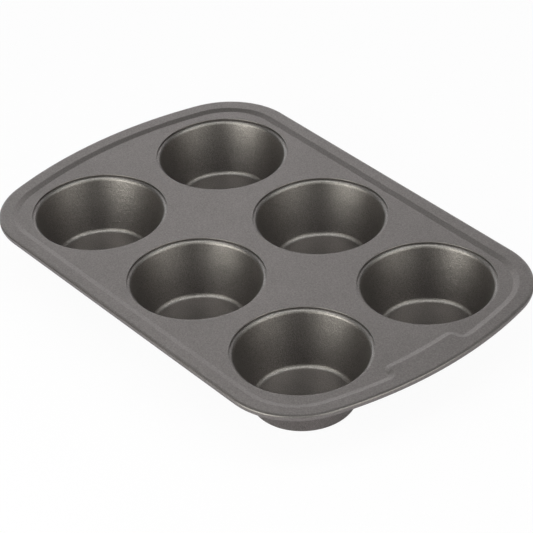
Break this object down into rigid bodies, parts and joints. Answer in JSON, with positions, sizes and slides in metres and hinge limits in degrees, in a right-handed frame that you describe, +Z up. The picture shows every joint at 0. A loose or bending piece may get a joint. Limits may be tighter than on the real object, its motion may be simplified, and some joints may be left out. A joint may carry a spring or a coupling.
{
  "type": "muffin pan",
  "caption": "Rectangular muffin pan: a coated steel deck with a rolled, wire-stiffened rim and a raised end pad carries round drawn baking cups with tapered walls and flat floors.",
  "frame": {"origin": "middle of the overall box, at the underside of the cup floors", "axes": "+X along the pan towards the end with the raised pad, +Y towards the back row of cups, +Z up"},
  "size_m": [0.282, 0.1848, 0.0318],
  "materials": {
    "deck_coating": "dark grey non-stick coating, satin, with a fine metallic fleck",
    "cup_coating": "dark grey non-stick coating, satin, with a fine metallic fleck",
    "wire_steel": "plain drawn steel wire"
  },
  "bodies": {
    "root": {"deck": "deck_coating", "rim_wire": "wire_steel", "cup_front_left": "cup_coating", "cup_front_middle": "cup_coating", "cup_front_right": "cup_coating", "cup_back_left": "cup_coating", "cup_back_middle": "cup_coating", "cup_back_right": "cup_coating"}
  },
  "joints": []
}
